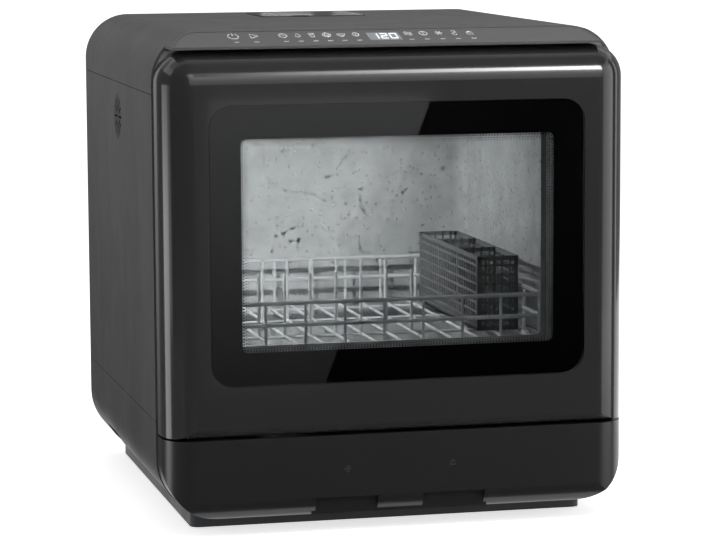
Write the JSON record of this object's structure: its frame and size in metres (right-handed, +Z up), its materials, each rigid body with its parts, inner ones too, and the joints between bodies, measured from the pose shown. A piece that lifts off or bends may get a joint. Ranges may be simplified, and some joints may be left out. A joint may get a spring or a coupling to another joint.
{
  "type": "countertop dishwasher",
  "caption": "Compact tank-fed dishwasher with a drop-down glass door, pull-out wire rack, cutlery basket, two spray arms and a slanted touch console.",
  "frame": {"origin": "on the floor under the middle of the casing", "axes": "+Z up, the door faces -Y, +X to the viewer's right in front of the door"},
  "size_m": [0.42, 0.435, 0.439],
  "materials": {
    "casing_grey": "fine-grained moulded plastic",
    "door_gloss": "high-gloss dark lacquer",
    "base_gloss": "semi-gloss dark plastic",
    "rear_plastic": "plain moulded plastic",
    "pan_plastic": "dark moulded plastic",
    "black_plastic": "black moulded plastic",
    "panel_overlay": null,
    "display": "lit white display lens",
    "rubber": "black rubber",
    "door_glass": "tinted tempered glass",
    "inner_glass": "clear tempered glass",
    "black_print": "black printed border",
    "tub_liner": "smooth light grey liner",
    "steel": "brushed stainless steel",
    "rack_wire": "light coated wire",
    "grey_plastic": "grey polypropylene",
    "tank_plastic": "translucent tank plastic",
    "lamp_lens": "lit diffuser",
    "motor_steel": "grey motor can",
    "circuit_board": "green board with black parts"
  },
  "bodies": {
    "casing": {"foot_pan": "pan_plastic", "rubber_feet": "rubber", "base_shell": "casing_grey", "base_front_panel": "base_gloss", "left_side_panel": "casing_grey", "right_side_panel": "casing_grey", "top_cover": "casing_grey", "rear_panel": "rear_plastic", "case_screws": "steel", "side_vent_grille": "black_plastic", "control_panel": "panel_overlay", "display_lens": "display", "control_board": "circuit_board", "fill_lid_pin": "steel", "fill_funnel": "rear_plastic", "water_tank": "tank_plastic", "hose_connectors": "black_plastic", "mains_gland": "black_plastic", "tub": "tub_liner", "tub_front_frame": "tub_liner", "tub_gasket": "rubber", "rack_rails": "tub_liner", "lower_arm_post": "grey_plastic", "upper_feed_pipe": "black_plastic", "sump": "grey_plastic", "flat_filter": "steel", "water_hoses": "black_plastic", "wash_pump_housing": "grey_plastic", "wash_pump_motor": "motor_steel", "drain_pump": "black_plastic", "heater_ring": "steel", "float_switch": "black_plastic", "fan_housing": "black_plastic", "power_board": "circuit_board", "lamp_lens": "lamp_lens", "latch_housing": "black_plastic", "hinge_brackets": "steel", "hinge_pins": "steel"},
    "door": {"door_outer_panel": "door_gloss", "door_glass": "door_glass", "glass_mask": "black_print", "inner_glass": "inner_glass", "door_liner": "tub_liner", "hinge_arms": "steel", "latch_strike": "steel", "detergent_cup": "grey_plastic"},
    "detergent_lid": {"detergent_lid": "grey_plastic"},
    "rack": {"dish_rack": "rack_wire", "cutlery_basket": "grey_plastic"},
    "front_wheels": {"front_rack_wheels": "grey_plastic"},
    "rear_wheels": {"rear_rack_wheels": "grey_plastic"},
    "lower_arm": {"lower_spray_arm": "grey_plastic"},
    "upper_arm": {"upper_spray_arm": "grey_plastic"},
    "filter": {"filter_cup": "grey_plastic"},
    "wash_rotor": {"wash_impeller": "grey_plastic"},
    "drain_rotor": {"drain_impeller": "grey_plastic"},
    "float": {"float": "grey_plastic"},
    "fan": {"fan_rotor": "black_plastic"},
    "fill_lid": {"fill_lid": "casing_grey"},
    "latch": {"latch_lever": "steel"}
  },
  "joints": [
    {"name": "door_hinge", "type": "hinge", "parent": "casing", "child": "door", "pos_m": [0, -0.2095, 0.096], "axis": [1, 0, 0], "range_deg": [0, 90]},
    {"name": "rack_slide", "type": "slide", "parent": "casing", "child": "rack", "axis": [0, -1, 0], "range_m": [0, 0.0945]},
    {"name": "front_wheel_roll", "type": "hinge", "parent": "rack", "child": "front_wheels", "pos_m": [0, -0.1075, 0.142], "axis": [1, 0, 0], "range_deg": [0, 601]},
    {"name": "rear_wheel_roll", "type": "hinge", "parent": "rack", "child": "rear_wheels", "pos_m": [0, 0.1225, 0.142], "axis": [1, 0, 0], "range_deg": [0, 601]},
    {"name": "lower_arm_spin", "type": "hinge", "parent": "casing", "child": "lower_arm", "pos_m": [0, -0.0045, 0.127], "axis": [0, 0, 1], "continuous": true},
    {"name": "upper_arm_spin", "type": "hinge", "parent": "casing", "child": "upper_arm", "pos_m": [0, -0.0045, 0.382], "axis": [0, 0, 1], "continuous": true},
    {"name": "filter_turn", "type": "hinge", "parent": "casing", "child": "filter", "pos_m": [0.085, -0.1175, 0.108], "axis": [0, 0, 1], "range_deg": [0, 60]},
    {"name": "wash_rotor_spin", "type": "hinge", "parent": "casing", "child": "wash_rotor", "pos_m": [0, -0.0045, 0.062], "axis": [0, 1, 0], "continuous": true},
    {"name": "drain_rotor_spin", "type": "hinge", "parent": "casing", "child": "drain_rotor", "pos_m": [0.14, -0.1175, 0.074], "axis": [1, 0, 0], "continuous": true},
    {"name": "fan_spin", "type": "hinge", "parent": "casing", "child": "fan", "pos_m": [-0.2, 0.0155, 0.352], "axis": [1, 0, 0], "continuous": true},
    {"name": "fill_lid_hinge", "type": "hinge", "parent": "casing", "child": "fill_lid", "pos_m": [-0.006, 0.173, 0.4365], "axis": [-1, 0, 0], "range_deg": [0, 95]},
    {"name": "detergent_lid_slide", "type": "slide", "parent": "door", "child": "detergent_lid", "axis": [1, 0, 0], "range_m": [0, 0.055]},
    {"name": "float_lift", "type": "slide", "parent": "casing", "child": "float", "axis": [0, 0, 1], "range_m": [0, 0.008]},
    {"name": "latch_pivot", "type": "hinge", "parent": "casing", "child": "latch", "pos_m": [0, -0.1425, 0.414], "axis": [-1, 0, 0], "range_deg": [0, 8], "stiffness_Nm_per_rad": 0.02}
  ],
  "couplings": [
    {"joint": "rack_slide", "follows": "door_hinge", "m_per_rad": 0.06},
    {"joint": "front_wheel_roll", "follows": "door_hinge", "ratio": 6.6667},
    {"joint": "rear_wheel_roll", "follows": "door_hinge", "ratio": 6.6667}
  ]
}
